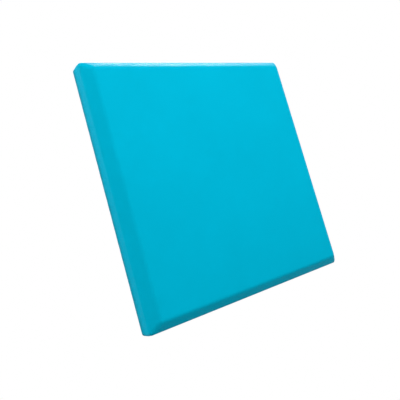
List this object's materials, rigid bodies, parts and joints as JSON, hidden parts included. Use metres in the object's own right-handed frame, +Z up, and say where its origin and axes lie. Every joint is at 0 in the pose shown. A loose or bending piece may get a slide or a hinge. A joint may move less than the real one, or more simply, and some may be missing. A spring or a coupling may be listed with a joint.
{
  "type": "acoustic foam panel",
  "caption": "Square bevelled acoustic foam panel with a stretched cloth cover on a timber frame, hung from two swinging rings on its back.",
  "frame": {"origin": "on the wall's surface, midway between the two wall hooks, level with where the D-rings bear on them", "axes": "+Z up, +X to the right when the panel's face is looked at, +Y into the wall; the face looks to -Y"},
  "size_m": [0.5, 0.0563, 0.5],
  "materials": {
    "cover_cloth": "matt, fine plain weave, stretched, turquoise",
    "back_cloth": "matt, non-woven, black",
    "foam": "open-cell foam, dark grey",
    "timber": "planed softwood, unfinished",
    "zinc_steel": "bright zinc plate",
    "nickel_steel": "nickel plate",
    "staple_wire": "galvanised flat wire",
    "rubber": "matt, black"
  },
  "bodies": {
    "panel": {"cloth_cover": "cover_cloth", "back_cloth": "back_cloth", "foam_face": "foam", "foam_infill": "foam", "rail_top": "timber", "staple_top_1": "staple_wire", "staple_top_2": "staple_wire", "staple_top_3": "staple_wire", "staple_top_4": "staple_wire", "rail_left": "timber", "staple_left_1": "staple_wire", "staple_left_2": "staple_wire", "staple_left_3": "staple_wire", "staple_left_4": "staple_wire", "rail_bottom": "timber", "staple_bottom_1": "staple_wire", "staple_bottom_2": "staple_wire", "staple_bottom_3": "staple_wire", "staple_bottom_4": "staple_wire", "rail_right": "timber", "staple_right_1": "staple_wire", "staple_right_2": "staple_wire", "staple_right_3": "staple_wire", "staple_right_4": "staple_wire", "brace_top_right": "zinc_steel", "brace_screw_top_right_1": "zinc_steel", "brace_screw_top_right_2": "zinc_steel", "brace_screw_top_right_3": "zinc_steel", "brace_screw_top_right_4": "zinc_steel", "bumper_top_right": "rubber", "brace_top_left": "zinc_steel", "brace_screw_top_left_1": "zinc_steel", "brace_screw_top_left_2": "zinc_steel", "brace_screw_top_left_3": "zinc_steel", "brace_screw_top_left_4": "zinc_steel", "bumper_top_left": "rubber", "brace_bottom_left": "zinc_steel", "brace_screw_bottom_left_1": "zinc_steel", "brace_screw_bottom_left_2": "zinc_steel", "brace_screw_bottom_left_3": "zinc_steel", "brace_screw_bottom_left_4": "zinc_steel", "bumper_bottom_left": "rubber", "brace_bottom_right": "zinc_steel", "brace_screw_bottom_right_1": "zinc_steel", "brace_screw_bottom_right_2": "zinc_steel", "brace_screw_bottom_right_3": "zinc_steel", "brace_screw_bottom_right_4": "zinc_steel", "bumper_bottom_right": "rubber", "hanger_strap_left": "zinc_steel", "strap_screw_left_1": "nickel_steel", "strap_screw_left_2": "nickel_steel", "hanger_strap_right": "zinc_steel", "strap_screw_right_1": "nickel_steel", "strap_screw_right_2": "nickel_steel"},
    "ring_left": {"hanger_ring_left": "nickel_steel"},
    "ring_right": {"hanger_ring_right": "nickel_steel"}
  },
  "joints": [
    {"name": "ring_swing_left", "type": "hinge", "parent": "panel", "child": "ring_left", "pos_m": [-0.2349, -0.00325, -0.01669], "axis": [-1, 0, 0], "range_deg": [0, 184]},
    {"name": "ring_swing_right", "type": "hinge", "parent": "panel", "child": "ring_right", "pos_m": [0.2349, -0.00325, -0.01669], "axis": [-1, 0, 0], "range_deg": [0, 184]}
  ]
}
